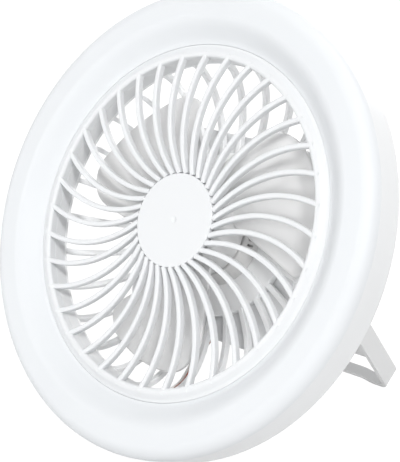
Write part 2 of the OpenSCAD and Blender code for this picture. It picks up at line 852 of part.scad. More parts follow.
// What is cut from the band between the arms, so that the crossbar is narrower than they are
module bar_cut() {
  edge = band_w / 2 - bar_w;
  far = band_w / 2 + 1;
  splay = far + edge;
  wide = arm_in - 0.5 - band_w + bar_w;
  translate([0, -stand_len + foot_h + 2 * band_t]) rotate([90, 0, 0])
    linear_extrude(foot_h + 2 * band_t + 1)
      polygon([[-wide - splay, -far], [wide + splay, -far], [wide, edge], [-wide, edge]]);
}

// The stand, folded flat along -Y with its hinge at the origin
module folded_stand() {
  web_t = 2.6;
  difference() {
    union() {
      translate([0, 0, -band_w / 2]) linear_extrude(band_w) band();
      for (s = [-1, 1]) rod_x(arm_eye_r, s > 0 ? arm_in : -stand_half, s > 0 ? stand_half : -arm_in);
      translate([-arm_in - 0.5, -web_end, -web_t / 2]) cube([2 * arm_in + 1, web_w, web_t]);
    }
    for (s = [-1, 1]) rod_x(hinge_r + run, s > 0 ? arm_in - 1 : -stand_half - 1,
      s > 0 ? stand_half + 1 : -arm_in + 1);
    bar_cut();
  }
}

module stand() {
  color(off_white) posed() translate([0, 0, hinge_z]) rotate([stand_open, 0, 0]) folded_stand();
}

module hinge_screws() {
  color("silver") posed() both_sides() {
    rod_x(hinge_thread_r, box_w / 2 - hinge_thread_len, box_w / 2);
    rod_x(hinge_r, box_w / 2, stand_half + 0.2);
    rod_x(hinge_head_r, stand_half + 0.2, stand_half + 0.2 + hinge_head_t);
  }
}

module friction_washers() {
  color("darkgray") posed() both_sides() difference() {
    rod_x(washer_r, box_w / 2, box_w / 2 + washer_t);
    rod_x(hinge_r + 0.02, box_w / 2 - 1, box_w / 2 + washer_t + 1);
  }
}

// ---------- fasteners ----------

module ring_screws() {
  color("silver") posed() ring_screw_places()
    screw(ring_screw_r, 2.3, 1.4, duct_top - 0.2, rim_back);
}

module cup_screws() {
  color("silver") posed() cup_screw_places()
    screw(cup_screw_r, 1.5, 0.2, cup_top - 2.6, plate_back);
}

module box_screws() {
  color("silver") posed() for (sx = [-1, 1]) for (sy = [-1, 1])
    translate([sx * box_screw_at, sy * box_screw_at, 0])
      screw(box_screw_r, 2.2, 1, -bowl_depth - 0.3, box_front - box_wall);
}

module cover_screws() {
  color("silver") posed() for (sx = [-1, 1]) for (sy = [-1, 1])
    translate([sx * cover_screw_x, sy * cover_screw_y, 0])
      screw(cover_screw_r, 2.3, 1.2, cover_z + 8, box_back + 1.4);
}

// ---------- wires ----------

lamp_wire_z = box_front - box_wall - 1;

module motor_wires() {
  color("firebrick") posed() for (s = [-1, 1])
    wire([[s * brush_at, 3, can_back - 2], [s * brush_at, 4, can_back - 5], [s * 5, 4, pcb_z + 2],
      [s * 5, 4, pcb_z - 1]], wire_r);
}

// Two wires from the control board, past the lower cell, beside a rib of the rear guard and
// through the rim to the lamp's board
module lamp_wires() {
  board_y = -pcb_h / 2 + 2;
  leave_z = pcb_z + wire_r;
  in_ring_z = floor_z + wire_bend_r;
  for (k = [0, 1]) {
    s = wire_near - k * wire_pitch;
    x = beside_rib(wire_exit_r, s, 0)[0];
    on_rib = [for (a = [55, 35, 15]) let (p = bowl(a, rear_rib_t / 2)) beside_rib(p[0], s, p[1])];
    color(k == 0 ? "firebrick" : "white") posed()
      wire(concat([[x, board_y, leave_z], [x, board_y, lamp_wire_z], [x, -box_h / 2 - 1.2, lamp_wire_z]],
        on_rib, [beside_rib(wire_hole_at, s, rim_back - 2), beside_rib(wire_hole_at, s, in_ring_z),
        beside_rib(board_in - gap, s, in_ring_z)]), wire_r);
  }
}

front_guard();
diffuser();
lamp_tray();
led_board();
led_chips();
rear_guard();
motor_cup();
motor_can();
motor_end_bell();
motor_bushes();
motor_magnets();
motor_brushes();
motor_shaft();
armature();
windings();
commutator();
impeller();
shaft_clip();
box_body();
box_cover();
upper_cell();
lower_cell();
cell_contacts();
control_board();
switch_bodies();
usb_socket();
charge_light();
fan_button();
lamp_button();
stand();
hinge_screws();
friction_washers();
ring_screws();
cup_screws();
box_screws();
cover_screws();
motor_wires();
lamp_wires();
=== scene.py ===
# %% [markdown]
# # A portable camping fan with a ring light
# The fan is a wide lamp ring around a round air opening. A grille of curved ribs closes the front,
# a bowl of straight ribs closes the back, and a box behind it holds the battery and the buttons.
# A flat band, bent to a U, folds out behind as a stand. The frame holds the working model, and this
# file gives each piece its moulded shape and its finish.

# %% The frame
import bpy
import bmesh
import json
from math import acos, atan2, cos, degrees, hypot, pi, radians, sin, sqrt
from mathutils import Matrix, Vector


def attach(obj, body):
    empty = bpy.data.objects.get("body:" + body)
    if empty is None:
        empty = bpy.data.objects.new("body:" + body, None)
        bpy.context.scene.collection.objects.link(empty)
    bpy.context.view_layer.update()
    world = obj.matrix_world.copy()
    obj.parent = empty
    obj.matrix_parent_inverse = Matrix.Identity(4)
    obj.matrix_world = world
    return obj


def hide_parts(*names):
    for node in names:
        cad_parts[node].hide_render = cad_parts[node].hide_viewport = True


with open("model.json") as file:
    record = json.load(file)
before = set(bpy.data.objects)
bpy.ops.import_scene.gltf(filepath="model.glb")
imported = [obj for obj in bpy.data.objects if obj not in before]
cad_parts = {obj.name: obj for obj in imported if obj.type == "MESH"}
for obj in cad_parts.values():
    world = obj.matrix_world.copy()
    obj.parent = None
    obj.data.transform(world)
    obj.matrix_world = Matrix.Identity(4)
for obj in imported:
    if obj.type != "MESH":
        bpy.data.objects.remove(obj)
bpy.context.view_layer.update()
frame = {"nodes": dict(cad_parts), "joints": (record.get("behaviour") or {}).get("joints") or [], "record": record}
joints = {joint["name"]: joint for joint in frame["joints"]}

# %% [markdown]
# The fan leans back, so nothing on it lies along the world's axes. It is easier to model it lying
# flat, in millimetres, with its axis along Z and the air blowing towards +Z, and to let one matrix
# stand every finished mesh in its place. The turning axis of the blades gives that matrix: it
# points out of the front, and it is known at a point behind the middle of the opening.

# %% From the flat drawing to the leaning fan
AXIS_POINT_DEPTH = 20.0
MM = 0.001
spin = joints["impeller_spin"]
front = Vector(spin["axis"]).normalized()
centre = Vector(spin["pos_m"]) + front * AXIS_POINT_DEPTH * MM
lean = front.angle(Vector((0, 0, 1)))
PLACE = Matrix.Translation(centre) @ Matrix.Rotation(lean, 4, "X") @ Matrix.Scale(MM, 4)
hinge = PLACE.inverted() @ Vector(joints["stand_swing"]["pos_m"])
print("leans back by", round(90 - degrees(lean), 2), "degrees")
print("hinge at", [round(v, 2) for v in hinge])

# %% [markdown]
# Shader maths reads best as plain expressions. A small class wraps a socket, so that a plus or a
# times between two of them adds the Math node. It would also work to add and link each Math node by
# hand, but then three lines stand for one sign.

# %% Sums of sockets
class Value:
    """A socket that takes part in sums as a number does."""

    def __init__(self, nodes, socket):
        self.nodes = nodes
        self.socket = socket

    def __add__(self, other):
        return self.nodes.calc("ADD", self, other)

    def __radd__(self, other):
        return self.nodes.calc("ADD", other, self)

    def __mul__(self, other):
        return self.nodes.calc("MULTIPLY", self, other)

    def __rmul__(self, other):
        return self.nodes.calc("MULTIPLY", other, self)


print("operators: plus and times")

# %% [markdown]
# A second class holds a tree of nodes. One of its methods adds any node, and a few short ones wrap
# the nodes that are used most. It serves the finishes here, and the white surround of the studio
# at the end, because a world is a tree of nodes too.

# %% A tree of nodes
# A Mix node has sockets for every type of data, and these numbers are its colour sockets
MIX_INPUTS = (0, 6, 7)
MIX_OUTPUT = 2


class Nodes:
    """A tree of shader nodes that starts empty."""

    def __init__(self, tree):
        self.tree = tree
        tree.nodes.clear()

    def feed(self, socket, value):
        """Links a wrapped socket, or sets a plain value."""
        if isinstance(value, Value):
            self.tree.links.new(value.socket, socket)
        else:
            socket.default_value = value

    def node(self, kind, settings=None, out=0, **sockets):
        """Adds any node: its settings first, then its sockets."""
        node = self.tree.nodes.new(kind)
        for key, value in (settings or {}).items():
            setattr(node, key, value)
        for key, value in sockets.items():
            self.feed(node.inputs[key.replace("_", " ")], value)
        return Value(self, node.outputs[out])

    def filled(self, result, *values, at=(0, 1, 2)):
        """Feeds the numbered sockets of a node, for sockets that share a name."""
        for k, value in zip(at, values):
            self.feed(result.socket.node.inputs[k], value)
        return result

    def calc(self, operation, first, second, kind="ShaderNodeMath", out=0):
        """A Math or Vector Math node."""
        return self.filled(self.node(kind, {"operation": operation}, out), first, second)

    def mix(self, amount, low, high):
        """A colour between two colours."""
        result = self.node("ShaderNodeMix", {"data_type": "RGBA"}, MIX_OUTPUT)
        return self.filled(result, amount, low, high, at=MIX_INPUTS)

    def blend(self, amount, first, second):
        """A shader between two shaders."""
        return self.filled(self.node("ShaderNodeMixShader"), amount, first, second)

    def seen_by(self, *rays):
        """1 for rays of the named kinds, and 0 for all others."""
        seen = 0.0
        for ray in rays:
            seen = self.calc("MAXIMUM", seen, self.node("ShaderNodeLightPath", out=ray))
        return seen


print("colour sockets of a Mix node:", MIX_INPUTS, MIX_OUTPUT)

# %% [markdown]
# A finish is one material around a Principled shader. What changes over a surface comes from noise
# in the piece's own coordinates, measured in metres, so one finish fits a large ring and a small
# button alike. Every finish of the fan varies in colour and has a trace of bump.

# %% A finish
class Finish(Nodes):
    """A material that is built up around one Principled shader."""

    def __init__(self, name, **constants):
        self.material = bpy.data.materials.new(name)
        self.material.use_nodes = True
        super().__init__(self.material.node_tree)
        self.output = self.tree.nodes.new("ShaderNodeOutputMaterial")
        self.shader = self.node("ShaderNodeBsdfPrincipled", **constants)
        self.feed(self.output.inputs["Surface"], self.shader)
        self.place = self.node("ShaderNodeTexCoord", out="Object")

    def set(self, socket, value):
        self.feed(self.shader.socket.node.inputs[socket], value)

    def noise(self, size, detail):
        """Noise whose blobs are about size metres across."""
        return self.node("ShaderNodeTexNoise", out="Fac", Vector=self.place, Scale=1 / size,
                         Detail=detail)

    def bump(self, pattern, height):
        """Raises the surface by a pattern from 0 to 1, times a height in metres."""
        self.set("Normal", self.node("ShaderNodeBump", Height=pattern, Distance=height))

    def waver(self, roughness, reach, pattern):
        """Lets the roughness follow a pattern, up to reach above and below its middle."""
        self.set("Roughness", roughness - reach + 2 * reach * pattern)


def shade(colour, share=1.0):
    """An opaque colour, darkened to a share of its brightness."""
    return tuple(channel * share for channel in colour) + (1.0,)


print("half as bright as mid grey:", shade((0.5, 0.5, 0.5), 0.5))

# %% [markdown]
# Injection-moulded white plastic is never one flat tone. Its skin repeats the tool's polish: a very
# shallow orange peel about a millimetre across, slightly uneven gloss, and a faint drift of colour
# over a few centimetres where the melt cooled at different speeds. The rear guard gets a copy of the
# same plastic painted a shade whiter, as painted light: its thin ribs stand in the shade of the blades.

# %% Moulded plastics
CLOUD_SIZE = 0.035
GLOSS_PATCH = 0.008
GLOSS_WAVER = 0.05
SATIN = {"peel": 0.000008, "size": 0.0007}


def tinted(level, blue):
    """An almost neutral colour: blue lifts the blue and lowers the red a little."""
    return (level - blue, level, level + blue, 1.0)


def moulded(name, level, roughness, blue=0.0, drift=0.012, peel=0.000004, size=0.0012,
            **constants):
    """A pale plastic: drift is its change of colour, peel the height of its skin."""
    finish = Finish(name, **constants)
    cloud = finish.noise(CLOUD_SIZE, 3.0)
    finish.set("Base Color", finish.mix(cloud, tinted(level - drift, blue),
                                        tinted(level + drift, blue)))
    finish.waver(roughness, GLOSS_WAVER, finish.noise(GLOSS_PATCH, 4.0))
    finish.bump(finish.noise(size, 2.0), peel)
    return finish.material


finishes = {
    "white_gloss": moulded("white gloss plastic", 0.71, 0.42, 0.012, Specular_IOR_Level=0.4),
    "milky_lens": moulded("milky lens plastic", 0.70, 0.50, 0.018, Specular_IOR_Level=0.3),
    "white_shell": moulded("white shell plastic", 0.73, 0.42, 0.008, **SATIN),
    "pale_grey": moulded("pale warm-grey plastic", 0.66, 0.38, -0.004),
    "blade_white": moulded("blade plastic", 0.68, 0.30),
    "stand_white": moulded("stand plastic", 0.64, 0.34, 0.003),
    "button_white": moulded("button plastic", 0.84, 0.22, 0.002, drift=0.006),
}
# Painted light: the same shell plastic made whiter, to make up for the shade on the rear guard's ribs
painted_light_shell = moulded("shell plastic with painted light", 0.92, 0.40, 0.006, **SATIN)
print("moulded plastics:", len(finishes) + 1)

# %% [markdown]
# The metal and electrical pieces are small, but they show through the grille and in the sockets.
# Drawn or turned metal has fine lines, so its noise is squeezed along one axis. The other pieces
# get one plain finish with fine specks, because nothing more of them can be seen.

# %% Metals, boards and wires
GRAIN = 900.0
GRAIN_DARK, GRAIN_WAVER, GRAIN_HEIGHT = 0.82, 0.08, 0.000003
SPECK_SIZE = 0.001
SPECK_DARK, SPECK_WAVER, SPECK_HEIGHT = 0.88, 0.06, 0.000005
WIRE_RED = (0.34, 0.10, 0.06)


def metal(name, colour, roughness, squeeze=(1.0, 1.0, 14.0)):
    """Drawn or turned metal, whose fine lines run across the squeezed axis."""
    finish = Finish(name, Metallic=1.0)
    lines = finish.node("ShaderNodeMapping", Vector=finish.place, Scale=squeeze)
    grain = finish.node("ShaderNodeTexNoise", out="Fac", Vector=lines, Scale=GRAIN, Detail=3.0)
    finish.set("Base Color", finish.mix(grain, shade(colour, GRAIN_DARK), shade(colour)))
    finish.waver(roughness, GRAIN_WAVER, grain)
    finish.bump(grain, GRAIN_HEIGHT)
    return finish.material


def plain(name, colour, roughness):
    """An even colour with fine specks."""
    finish = Finish(name)
    speck = finish.noise(SPECK_SIZE, 3.0)
    finish.set("Base Color", finish.mix(speck, shade(colour, SPECK_DARK), shade(colour)))
    finish.waver(roughness, SPECK_WAVER, speck)
    finish.bump(speck, SPECK_HEIGHT)
    return finish.material


finishes.update({
    "steel": metal("plated steel", (0.62, 0.63, 0.65), 0.32),
    "nickel": metal("nickel sheet", (0.70, 0.68, 0.64), 0.28),
    "bronze": metal("sintered bronze", (0.58, 0.42, 0.24), 0.45),
    "copper": metal("lacquered copper", (0.72, 0.38, 0.22), 0.30, (14.0, 1.0, 1.0)),
    "ferrite": plain("dark iron", (0.07, 0.07, 0.075), 0.55),
    "black_plastic": plain("black moulding", (0.03, 0.03, 0.032), 0.45),
    "board_green": plain("green board", (0.03, 0.17, 0.08), 0.35),
    "board_white": plain("white board", (0.82, 0.84, 0.80), 0.35),
    "led_yellow": plain("yellow phosphor", (0.85, 0.68, 0.22), 0.5),
    "cell_wrap": plain("blue shrink wrap", (0.05, 0.20, 0.42), 0.3),
    "nylon": plain("pale nylon", (0.62, 0.63, 0.64), 0.45),
    "clear_lens": plain("light pipe", (0.80, 0.86, 0.88), 0.15),
    "wire_red": plain("reddish-brown insulation", WIRE_RED, 0.42),
})
print("finishes:", len(finishes))

# %% [markdown]
# The two lamp wires are one piece of the frame, but one is white and the other reddish brown. They
# run side by side, so a plane between them tells the shader which colour to use.

# %% The pair of lamp wires
WIRE_RIB = radians(168)
WIRE_MIDDLE = -2.82
WIRE_WHITE = (0.80, 0.79, 0.77)


def wire_pair(between, sideways):
    """White on one side of a plane and reddish brown on the other."""
    finish = Finish("wire pair insulation", Roughness=0.4)
    aside = finish.calc("DOT_PRODUCT", finish.place, sideways, "ShaderNodeVectorMath", "Value")
    near = finish.calc("GREATER_THAN", aside, sideways.dot(between))
    finish.set("Base Color", finish.mix(near, shade(WIRE_WHITE), shade(WIRE_RED)))
    finish.bump(finish.noise(SPECK_SIZE, 3.0), SPECK_HEIGHT)
    return finish.material


across = Vector((-cos(WIRE_RIB), sin(WIRE_RIB), 0))
pair_finish = wire_pair(PLACE @ (across * WIRE_MIDDLE), (PLACE.to_3x3() @ across).normalized())
print("wires lie across", [round(v, 2) for v in across])

# %% [markdown]
# Every piece of the frame that keeps its own shape still needs its finish. The record names a
# material slot for each, so the table from slot to material covers them all.

# %% Finishes for the pieces that stay as they are
slot_of = {part["node"]: part["material_slot"] for part in frame["record"]["subparts"]}
for node, part in frame["nodes"].items():
    part.data.materials.clear()
    part.data.materials.append(pair_finish if node == "lamp_wires" else finishes[slot_of[node]])
print("finished", len(frame["nodes"]), "nodes")

# %% [markdown]
# Every drawn mesh is finished in one way: doubles are merged, faces are turned outwards, and the
# piece is stood in its place. Smooth shading stops at edges sharper than a set angle, and its
# normals are weighted by area, so that a flat face beside a rounded edge stays flat. The record's
# slot gives the material, unless another finish is given.

# %% Finishing a mesh
MERGE = 0.0005


def added(name, data):
    """A new object in the scene."""
    thing = bpy.data.objects.new(name, data)
    bpy.context.scene.collection.objects.link(thing)
    return thing


def with_modifiers(piece):
    """A new mesh of the object, as its modifiers leave it."""
    scene_now = bpy.context.evaluated_depsgraph_get()
    return bpy.data.meshes.new_from_object(piece.evaluated_get(scene_now))


def finish_mesh(bm, name, body, nodes, slot, smooth=40, drawn_flat=True, finish=None):
    """Stands a drawn mesh in its place, names it and lets it ride with its body."""
    if drawn_flat:
        bmesh.ops.remove_doubles(bm, verts=bm.verts, dist=MERGE)
        bmesh.ops.recalc_face_normals(bm, faces=bm.faces)
        bmesh.ops.transform(bm, matrix=PLACE, verts=bm.verts)
    mesh = bpy.data.meshes.new(name)
    bm.to_mesh(mesh)
    bm.free()
    mesh.shade_smooth()
    mesh.set_sharp_from_angle(angle=radians(smooth))
    mesh.materials.append(finish or finishes[slot])
    piece = added(name, mesh)
    weighted = piece.modifiers.new("weighted normals", "WEIGHTED_NORMAL")
    weighted.keep_sharp = True
    piece.data = with_modifiers(piece)
    piece.modifiers.clear()
    bpy.data.meshes.remove(mesh)
    piece.data.name = name
    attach(piece, body)
    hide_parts(*nodes)
    print(f"{name}: {len(piece.data.polygons)} faces")


# %% [markdown]
# Most of the fan is round about one axis. Each round piece is drawn as half a section, its corners
# are rounded while it is still flat, and the outline is spun about the axis. Rounding first is
# cheaper than bevelling the finished solid, and it gives every edge its small highlight.

# %% Drawing and spinning sections
def outline(points, rounds=None):
    """A face in the XZ plane; rounds gives a radius for each numbered corner that is rounded."""
    bm = bmesh.new()
    corners = [bm.verts.new((x, 0, z)) for x, z in points]
    bm.faces.new(corners)
    for radius in sorted(set((rounds or {}).values())):
        chosen = [corners[k] for k, r in rounds.items() if r == radius]
        bmesh.ops.bevel(bm, geom=chosen, offset=radius, segments=5, profile=0.5, material=-1,
                        affect="VERTICES", clamp_overlap=True)
    return bm


def spun(points, rounds=None, steps=180):
    """A ring: the outline is spun once round the fan's axis."""
    bm = outline(points, rounds)
    bmesh.ops.delete(bm, geom=bm.faces[:], context="FACES_ONLY")
    bmesh.ops.spin(bm, geom=bm.verts[:] + bm.edges[:], cent=(0, 0, 0), axis=(0, 0, 1),
                   angle=2 * pi, steps=steps, use_merge=True)
    return bm


def merged(target, part):
    """Adds one mesh to another."""
    mesh = bpy.data.meshes.new("part")
    part.to_mesh(mesh)
    part.free()
    target.from_mesh(mesh)
    bpy.data.meshes.remove(mesh)
    return target


test_ring = spun([(1, 0), (2, 0), (2, 1), (1, 1)], steps=8)
print("a spun square has", len(test_ring.faces), "faces")
test_ring.free()

# %% [markdown]
# The ring light's cover is one wide, milky lens. From the groove around the grille it rises in a
# soft slope to a flat crest and rolls over to the side, where it meets the white tray. The slope
# is half a wave of a cosine, eased a little so that it rises sooner beside the groove.

# %% The lens of the ring light
OPENING_R = 70.0
RING_R = 99.5
CREST = 6.0
GROOVE_R = 76.0
GROOVE_Z = -1.2
LENS_WALL = 2.0
ROLL = 6.0
SLOPE_EASE = 0.85
SLOPE_SHARE = 0.65
SLOPE_END = GROOVE_R + SLOPE_SHARE * (RING_R - ROLL - GROOVE_R)
SEAM_Z = CREST - ROLL


def slope(r):
    """Height of the lens between the groove and its crest."""
    along = min(1.0, max(0.0, (r - GROOVE_R) / (SLOPE_END - GROOVE_R)))
    return GROOVE_Z + (CREST - GROOVE_Z) * (0.5 - 0.5 * cos(pi * along ** SLOPE_EASE))


SEAM = 0.03
SKIRT_GAP = 0.1
SKIRT_T = 1.6
SKIRT_OUT = RING_R - LENS_WALL - SKIRT_GAP
SKIRT_IN = SKIRT_OUT - SKIRT_T
SKIRT_LOW = -4.0
SLOPE_STEPS = 16
ROLL_STEPS = 12
inner_edge = GROOVE_R + SEAM
roll_x = RING_R - ROLL
slope_radii = [inner_edge + (SLOPE_END - inner_edge) * k / SLOPE_STEPS
               for k in range(SLOPE_STEPS + 1)]
roll_turns = [pi / (2 * ROLL_STEPS) * k for k in range(ROLL_STEPS + 1)]
lens_outline = [(r, slope(r)) for r in slope_radii]
lens_outline += [(roll_x + ROLL * sin(turn), SEAM_Z + ROLL * cos(turn)) for turn in roll_turns]
seam_corner = len(lens_outline) - 1
lens_outline += [(SKIRT_OUT, SEAM_Z), (SKIRT_OUT, SKIRT_LOW), (SKIRT_IN, SKIRT_LOW),
                 (SKIRT_IN, SEAM_Z + sqrt((ROLL - LENS_WALL) ** 2 - (SKIRT_IN - roll_x) ** 2)),
                 (roll_x, CREST - LENS_WALL)]
lens_outline += [(r, slope(r) - LENS_WALL) for r in reversed(slope_radii)]
lens = spun(lens_outline, {0: 0.1, seam_corner: 0.12})
finish_mesh(lens, "lens_ring", "housing", ["diffuser"], "milky_lens")

# %% [markdown]
# The tray behind the lens carries the lamp's board. Its side is straight, its rear edge is rounded,
# and its floor steps forward inside, so that only a thin duct shows round the opening.

# %% The tray of the ring light
RING_BACK = -14.5
REAR_ROUND = 2.0
FLOOR_Z = -7.2
FLOOR_T = 1.8
FLOOR_END = 92.5
DUCT_TOP = -3.0
WALL = 2.0
STEP_IN = 1.0
tray_outline = [
    (OPENING_R, FLOOR_Z - FLOOR_T), (OPENING_R, DUCT_TOP), (OPENING_R + WALL, DUCT_TOP),
    (OPENING_R + WALL, FLOOR_Z), (FLOOR_END, FLOOR_Z), (RING_R - WALL, RING_BACK + 2 * FLOOR_T),
    (RING_R - WALL, SEAM_Z - SEAM), (RING_R, SEAM_Z - SEAM), (RING_R, RING_BACK),
    (RING_R - REAR_ROUND - STEP_IN, RING_BACK), (FLOOR_END - STEP_IN, FLOOR_Z - FLOOR_T),
]
tray = spun(tray_outline, {8: REAR_ROUND, 7: 0.12, 9: 0.8, 10: 1.2, 1: 0.3})
finish_mesh(tray, "ring_tray", "housing", ["lamp_tray"], "white_shell")

# %% [markdown]
# The front grille is one moulding. Each rib follows an arc of a circle in plan, so its rounded
# section can be spun about that arc's own centre. A rib starts flat and is then lifted onto the
# dome that runs from the cap down to the lip.

# %% One curved rib of the front grille
RIB_W = 2.2
RIB_T = 3.0
RIB_BOW = 5.5
RIB_STEPS = 26
RIB_ROUNDS = {0: 0.35, 1: 0.35, 2: 0.75, 3: 0.75}
INTO_CAP = 0.05
CAP_R = 20.0
CAP_H = 0.1
DOME_LOW = 0.9
RIB_START = 2.4
chord_from = CAP_R + RIB_START
half_chord = (OPENING_R - chord_from) / 2
arc_r = (half_chord ** 2 + RIB_BOW ** 2) / (2 * RIB_BOW)
arc_centre = Vector((chord_from + half_chord, RIB_BOW - arc_r, 0))


def dome(r):
    """Height of the grille's face at a distance from the axis."""
    out = (max(r, CAP_R) - CAP_R) / (OPENING_R - CAP_R)
    return DOME_LOW + (CAP_H - DOME_LOW) * (1 - out ** 2)


def curved_rib():
    """One rib along +X: a rounded section spun about the centre of its arc."""
    reach = acos((arc_r - RIB_BOW) / arc_r) + INTO_CAP
    half = RIB_W / 2
    bm = outline([(-half, -RIB_T), (half, -RIB_T), (half, 0), (-half, 0)], RIB_ROUNDS)
    bmesh.ops.rotate(bm, cent=(0, 0, 0), matrix=Matrix.Rotation(pi / 2, 3, "Z"), verts=bm.verts)
    bmesh.ops.translate(bm, vec=arc_centre + Vector((0, arc_r, 0)), verts=bm.verts)
    bmesh.ops.rotate(bm, cent=arc_centre, matrix=Matrix.Rotation(reach, 3, "Z"), verts=bm.verts)
    section = bm.verts[:] + bm.edges[:] + bm.faces[:]
    bmesh.ops.spin(bm, geom=section, cent=arc_centre, axis=(0, 0, 1), angle=-2 * reach,
                   steps=RIB_STEPS)
    for vert in bm.verts:
        vert.co.z += dome(hypot(vert.co.x, vert.co.y))
    return bm


print("rib's arc radius", round(arc_r, 1))

# %% [markdown]
# The grille is the same rib many times around the axis. Each copy is drawn anew, turned and merged
# into one mesh. The same helper later makes the rear guard and the blades.

# %% The ribs around the axis
RIBS = 36
FIRST_RIB = 2.6


def ring_of(draw, count, first):
    """Repeats a drawn shape clockwise around the axis, from an angle in degrees."""
    bm = bmesh.new()
    for k in range(count):
        part = draw()
        turn = Matrix.Rotation(radians(first - k * 360 / count), 3, "Z")
        bmesh.ops.rotate(part, cent=(0, 0, 0), matrix=turn, verts=part.verts)
        merged(bm, part)
    return bm


grille = ring_of(curved_rib, RIBS, 90 - FIRST_RIB)
print("front ribs:", RIBS)

# %% [markdown]
# The cap is a shallow round button with a softly rounded edge and, in its middle, the little dimple
# that the moulding gate leaves. The lip is a half-round bead that falls away to the groove. Both
# are spun and joined to the ribs, because the whole grille is one moulding.

# %% The cap and the lip of the front grille
CAP_T = 2.0
CAP_STEPS = 120
GATE_R = 1.5
GATE_DEEP = 0.4
GATE_FLAT = 0.6
LIP_R = 1.3
LIP_TOP = 1.0
LIP_FLAT = 1.0
LIP_LOW = -4.0
LIP_STEPS = 8
LIP_IN = OPENING_R + WALL + 0.2
LIP_REST = DUCT_TOP + 0.1
BEAD_END = (GROOVE_R - 1.2, GROOVE_Z + 0.3)
cap_outline = [(0, CAP_H - CAP_T), (0, CAP_H - GATE_DEEP), (GATE_R * GATE_FLAT, CAP_H - GATE_DEEP),
               (GATE_R, CAP_H), (CAP_R, CAP_H), (CAP_R, CAP_H - CAP_T)]
merged(grille, spun(cap_outline, {4: 0.45, 3: 0.15}, CAP_STEPS))
lip_turns = [pi - k * pi / 2 / LIP_STEPS for k in range(LIP_STEPS + 1)]
lip_outline = [(OPENING_R, LIP_REST)]
lip_outline += [(OPENING_R + LIP_R + LIP_R * cos(turn), LIP_TOP - LIP_R + LIP_R * sin(turn))
                for turn in lip_turns]
lip_outline += [(OPENING_R + LIP_R + LIP_FLAT, LIP_TOP), BEAD_END, (GROOVE_R - SEAM, GROOVE_Z),
                (GROOVE_R - SEAM, LIP_LOW), (LIP_IN, LIP_LOW), (LIP_IN, LIP_REST)]
merged(grille, spun(lip_outline, {10: 1.2, 11: 0.8, 12: 0.3}))
finish_mesh(grille, "front_grille", "housing", ["front_guard"], "white_gloss")

# %% [markdown]
# The rear guard is a bowl of straight ribs. The side of a rib is a band between two quarter
# ellipses. It is drawn flat, extruded to the rib's width and bevelled, because a bevel after the
# extrusion rounds all the long edges in one step.

# %% One rib of the rear guard
REAR_RIB_W = 2.4
REAR_RIB_T = 3.0
RIB_EDGE = 0.5
SHARP_EDGE = radians(50)
PLATE_R = 36.0
BOWL_DEPTH = 31.3
BOWL_STEPS = 20
INTO_PLATE = 1.0
FOOT_RISE = 0.6
bowl_top = FLOOR_Z - FLOOR_T
bowl_r = OPENING_R - PLATE_R
bowl_h = BOWL_DEPTH + bowl_top


def bowl_point(turn, thick):
    """A point of the bowl: its inside where thick is 0, and its outside at the rib's depth."""
    return (PLATE_R + (bowl_r + thick) * cos(turn), bowl_top - (bowl_h + thick) * sin(turn))


def bowl_rib():
    """One rib along +X: a band between two quarter ellipses, as wide as the rib."""
    turns = [pi / 2 * k / BOWL_STEPS for k in range(BOWL_STEPS + 1)]
    foot_r = PLATE_R - INTO_PLATE
    points = [bowl_point(t, 0) for t in turns] + [(foot_r, -BOWL_DEPTH)]
    points += [(foot_r, -BOWL_DEPTH - REAR_RIB_T + FOOT_RISE)]
    points += [bowl_point(t, REAR_RIB_T) for t in reversed(turns)]
    bm = outline(points)
    bmesh.ops.translate(bm, vec=(0, -REAR_RIB_W / 2, 0), verts=bm.verts)
    side = bmesh.ops.extrude_face_region(bm, geom=bm.faces[:])
    moved = [part for part in side["geom"] if isinstance(part, bmesh.types.BMVert)]
    bmesh.ops.translate(bm, vec=(0, REAR_RIB_W, 0), verts=moved)
    bmesh.ops.recalc_face_normals(bm, faces=bm.faces)
    sharp = [edge for edge in bm.edges if abs(edge.calc_face_angle(0)) > SHARP_EDGE]
    bmesh.ops.bevel(bm, geom=sharp, offset=RIB_EDGE, segments=3, profile=0.5, material=-1,
                    affect="EDGES", clamp_overlap=True)
    return bm


print("bowl:", round(bowl_r, 1), "wide and", round(bowl_h, 1), "deep")

# %% [markdown]
# The ribs stand between a flat rim, which the ring's screws hold, and a round plate that carries
# the motor. The rim and the plate are spun, and all of it is one moulding again.

# %% The rear guard
REAR_RIBS = 27
REAR_FIRST = 8.0
PLATE_T = 3.1
MOTOR_HOLE_R = 14.1
RIM_W = 7.4
RIM_T = 1.6
RIM_GAP = 0.1
guard = ring_of(bowl_rib, REAR_RIBS, 90 - REAR_FIRST)
plate_outline = [(MOTOR_HOLE_R, -BOWL_DEPTH), (PLATE_R, -BOWL_DEPTH),
                 (PLATE_R, -BOWL_DEPTH - PLATE_T), (MOTOR_HOLE_R, -BOWL_DEPTH - PLATE_T)]
merged(guard, spun(plate_outline, {1: 0.5, 2: 0.3}, CAP_STEPS))
rim_outline = [(OPENING_R + RIM_GAP, bowl_top - RIM_GAP), (OPENING_R + RIM_W, bowl_top - RIM_GAP),
               (OPENING_R + RIM_W, bowl_top - RIM_T), (OPENING_R + RIM_GAP, bowl_top - RIM_T)]
merged(guard, spun(rim_outline, {2: 0.6, 3: 0.3}))
# The rear guard takes the shell plastic with painted light, whiter against the shade of the blades
finish_mesh(guard, "rear_basket", "housing", ["rear_guard"], "white_shell", finish=painted_light_shell)

# %% [markdown]
# A blade is a broad petal. Each of its two edges runs straight from a small circle at the hub to a
# corner circle at the tip, and between the corners the tip itself is an arc about the axis. The
# petal is described by one question: at this distance from the axis, at what angle is its edge?

# %% The outline of a blade
HUB_R = 19.5
TIP_R = 62.5
LEAD_ROUND = 7.0
TRAIL_ROUND = 18.0
HALVINGS = 30
